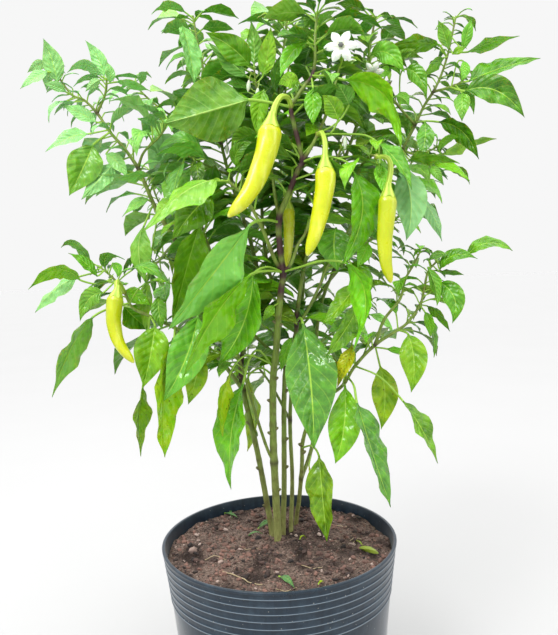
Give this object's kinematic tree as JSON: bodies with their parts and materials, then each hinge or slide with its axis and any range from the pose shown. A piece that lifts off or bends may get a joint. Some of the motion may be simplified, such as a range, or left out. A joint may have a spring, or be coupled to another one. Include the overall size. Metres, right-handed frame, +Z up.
{
  "type": "potted chilli pepper plant",
  "caption": "Tall, airy chilli pepper plant with long yellow hanging fruits and small white flowers, rooted in soil in a round black nursery pot.",
  "frame": {"origin": "centre of the pot's flat underside", "axes": "+Z up along the pot's axis, -Y towards the viewer of the picture, +X to the viewer's right"},
  "size_m": [0.5719, 0.4043, 0.865],
  "materials": {
    "black_plastic": "satin",
    "potting_soil": "rough",
    "green_leaf_and_stem": "satin",
    "yellow_fruit": "gloss",
    "white_petal": "matte",
    "dark_anther": "matte"
  },
  "bodies": {
    "root": {"pot": "black_plastic", "potting_soil": "potting_soil", "leafy_stem_front": "green_leaf_and_stem", "leafy_stem_left": "green_leaf_and_stem", "leafy_stem_middle": "green_leaf_and_stem", "leafy_stem_back": "green_leaf_and_stem", "leafy_stem_right": "green_leaf_and_stem", "pepper_1": "yellow_fruit", "pepper_2": "yellow_fruit", "pepper_3": "yellow_fruit", "pepper_4": "yellow_fruit", "pepper_5": "yellow_fruit", "bloom_1": "white_petal", "bloom_1_anthers": "dark_anther", "bloom_2": "white_petal", "bloom_2_anthers": "dark_anther"}
  },
  "joints": []
}
